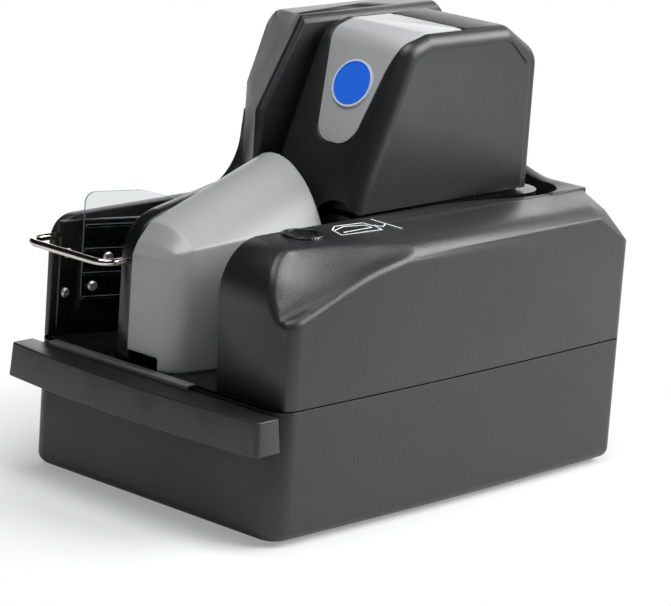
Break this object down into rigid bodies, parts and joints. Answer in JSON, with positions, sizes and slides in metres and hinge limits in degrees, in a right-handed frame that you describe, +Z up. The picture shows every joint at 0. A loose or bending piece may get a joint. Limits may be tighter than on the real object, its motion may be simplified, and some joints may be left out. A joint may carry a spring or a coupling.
{
  "type": "cheque scanner",
  "caption": "Desktop cheque scanner with a front hopper and exit pocket, U-shaped document track between two towers, pull-out tray, wire stop and access door.",
  "frame": {"origin": "centre of the footprint's bounding box, on the table under the rubber feet", "axes": "+X to the cover side (right, seen from the front), +Y to the rear, +Z up"},
  "size_m": [0.19, 0.306, 0.2498],
  "materials": {
    "charcoal_body": "fine textured charcoal plastic",
    "charcoal_gloss": "smooth black plastic",
    "black_inner": "smooth black inner plastic",
    "grey_guide": "satin light grey plastic",
    "grey_door": "satin mid grey plastic",
    "badge_blue": "glossy blue badge with a pale rim",
    "clear_plate": "clear plastic",
    "chrome_wire": "bright chrome plating",
    "steel": "plain steel",
    "rubber_black": "black rubber",
    "rubber_grey": "grey rubber",
    "motor_metal": "zinc plated steel",
    "board_green": "green circuit board",
    "connector_black": "black connector shells",
    "cartridge": "dark grey cartridge",
    "window_glass": "clear glass strips"
  },
  "bodies": {
    "body": {"base_housing": "charcoal_body", "rubber_feet": "rubber_black", "housing_screws": "steel", "track_deck": "black_inner", "floor_strip": "steel", "tray_runners": "black_inner", "upper_housing": "charcoal_body", "left_tower": "charcoal_body", "island_core": "black_inner", "island_cover": "charcoal_body", "door_hinge_pin": "steel", "cartridge_holder": "black_inner", "ink_cartridge": "cartridge", "hopper_guide": "grey_guide", "island_wall": "black_inner", "pocket_liner": "black_inner", "pocket_plate": "clear_plate", "pocket_screws": "steel", "flag_pin": "steel", "button_bezel": "charcoal_gloss", "button_switch": "connector_black", "scan_module_front": "connector_black", "scan_module_rear": "connector_black", "scan_glass": "window_glass", "magnetic_head": "steel", "track_motor": "motor_metal", "pick_motor": "motor_metal", "track_belt": "rubber_black", "roller_belt": "rubber_black", "main_board": "board_green", "power_inlet": "connector_black", "data_port": "steel"},
    "tray": {"front_tray": "charcoal_body"},
    "door": {"access_door": "grey_door", "door_badge": "badge_blue"},
    "wire": {"wire_stop": "chrome_wire"},
    "button": {"power_button": "charcoal_gloss"},
    "flag": {"hopper_flag": "black_inner"},
    "entry_drive": {"entry_roller": "steel", "entry_tyres": "rubber_grey"},
    "exit_drive": {"exit_roller": "steel", "exit_tyres": "rubber_grey"},
    "pick_drive": {"pick_roller": "steel", "pick_tyres": "rubber_grey"},
    "entry_pinch": {"entry_pinch_roller": "steel"},
    "exit_pinch": {"exit_pinch_roller": "steel"},
    "motor_drive": {"track_pulley": "steel"}
  },
  "joints": [
    {"name": "tray_slide", "type": "slide", "parent": "body", "child": "tray", "axis": [0, -1, 0], "range_m": [0, 0.045]},
    {"name": "door_hinge", "type": "hinge", "parent": "body", "child": "door", "pos_m": [0.0095, 0.0574, 0.2464], "axis": [-1, 0, 0], "range_deg": [0, 75]},
    {"name": "wire_slide", "type": "slide", "parent": "body", "child": "wire", "axis": [0, -1, 0], "range_m": [0, 0.03]},
    {"name": "button_push", "type": "slide", "parent": "body", "child": "button", "axis": [0, 0, -1], "range_m": [0, 0.0015], "stiffness_N_per_m": 800},
    {"name": "flag_swing", "type": "hinge", "parent": "body", "child": "flag", "pos_m": [0.01896, -0.07745, 0.0935], "axis": [0, 0, -1], "range_deg": [0, 14]},
    {"name": "motor_spin", "type": "hinge", "parent": "body", "child": "motor_drive", "pos_m": [0.049, 0.088, 0.0525], "axis": [0, 0, 1], "continuous": true},
    {"name": "entry_spin", "type": "hinge", "parent": "body", "child": "entry_drive", "pos_m": [0.0288, 0.012, 0.1025], "axis": [0, 0, 1], "continuous": true},
    {"name": "exit_spin", "type": "hinge", "parent": "body", "child": "exit_drive", "pos_m": [-0.0158, 0.012, 0.1025], "axis": [0, 0, 1], "continuous": true},
    {"name": "pick_spin", "type": "hinge", "parent": "body", "child": "pick_drive", "pos_m": [0.0502, -0.041, 0.1025], "axis": [0, 0, 1], "continuous": true},
    {"name": "entry_pinch_spin", "type": "hinge", "parent": "body", "child": "entry_pinch", "pos_m": [0.0441, 0.012, 0.1025], "axis": [0, 0, 1], "continuous": true},
    {"name": "exit_pinch_spin", "type": "hinge", "parent": "body", "child": "exit_pinch", "pos_m": [-0.0311, 0.012, 0.1025], "axis": [0, 0, 1], "continuous": true}
  ],
  "couplings": [
    {"joint": "entry_spin", "follows": "motor_spin", "ratio": 1},
    {"joint": "exit_spin", "follows": "motor_spin", "ratio": 1},
    {"joint": "entry_pinch_spin", "follows": "motor_spin", "ratio": -1.5},
    {"joint": "exit_pinch_spin", "follows": "motor_spin", "ratio": -1.5}
  ]
}
